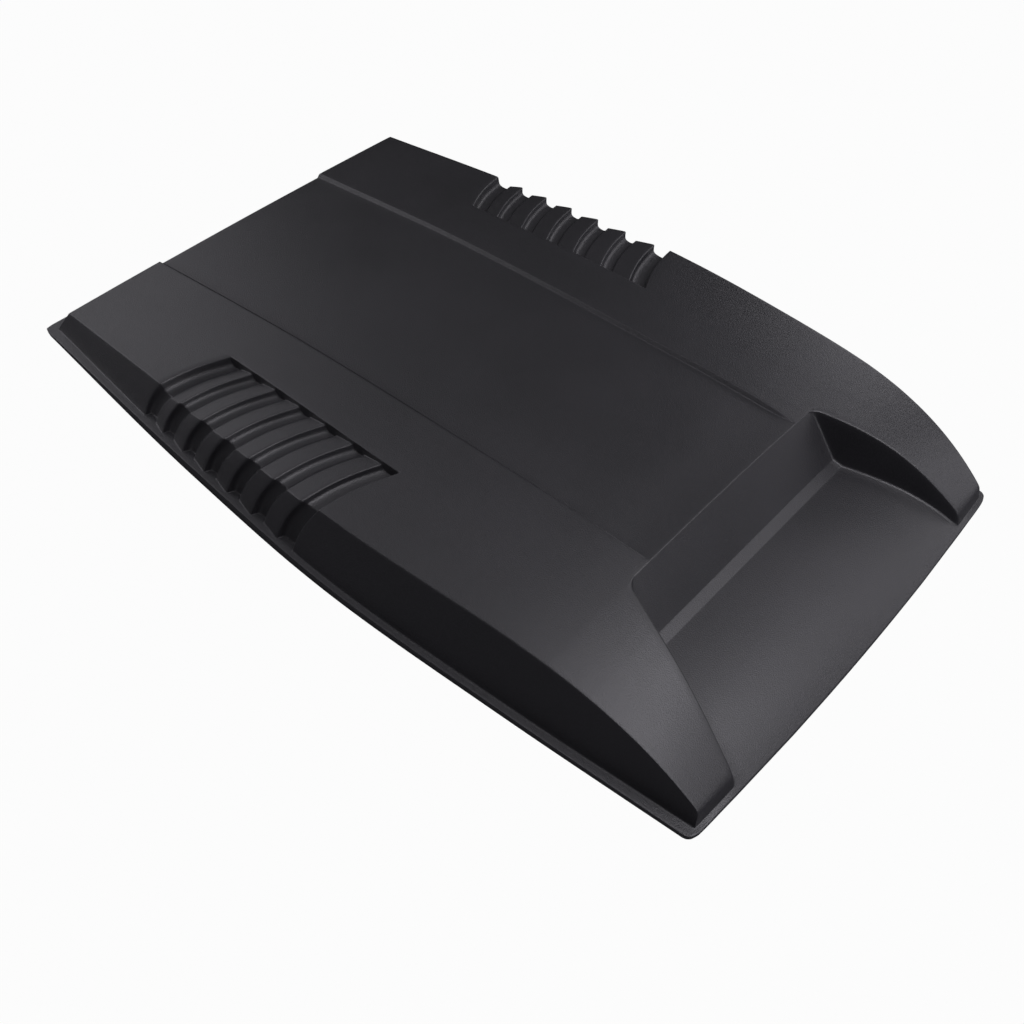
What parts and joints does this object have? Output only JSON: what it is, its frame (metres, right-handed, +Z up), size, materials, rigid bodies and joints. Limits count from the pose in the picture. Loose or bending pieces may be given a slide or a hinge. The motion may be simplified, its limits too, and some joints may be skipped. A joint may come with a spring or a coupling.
{
  "type": "bonnet scoop",
  "caption": "Moulded plastic bonnet scoop: a low shell with raised side pods, louvre banks, a sunk centre panel and a closed front mouth inside a flat-bottomed rim",
  "frame": {"origin": "middle of the scoop's footprint, on the flat underside of its rim", "axes": "+X across the scoop, -Y towards the mouth and the front of the car, +Y towards the low rear edge, +Z up from the bonnet"},
  "size_m": [0.5592, 0.9, 0.0972],
  "materials": {
    "shell": "satin black, fine grain"
  },
  "bodies": {
    "root": {"bonnet_scoop": "shell"}
  },
  "joints": []
}
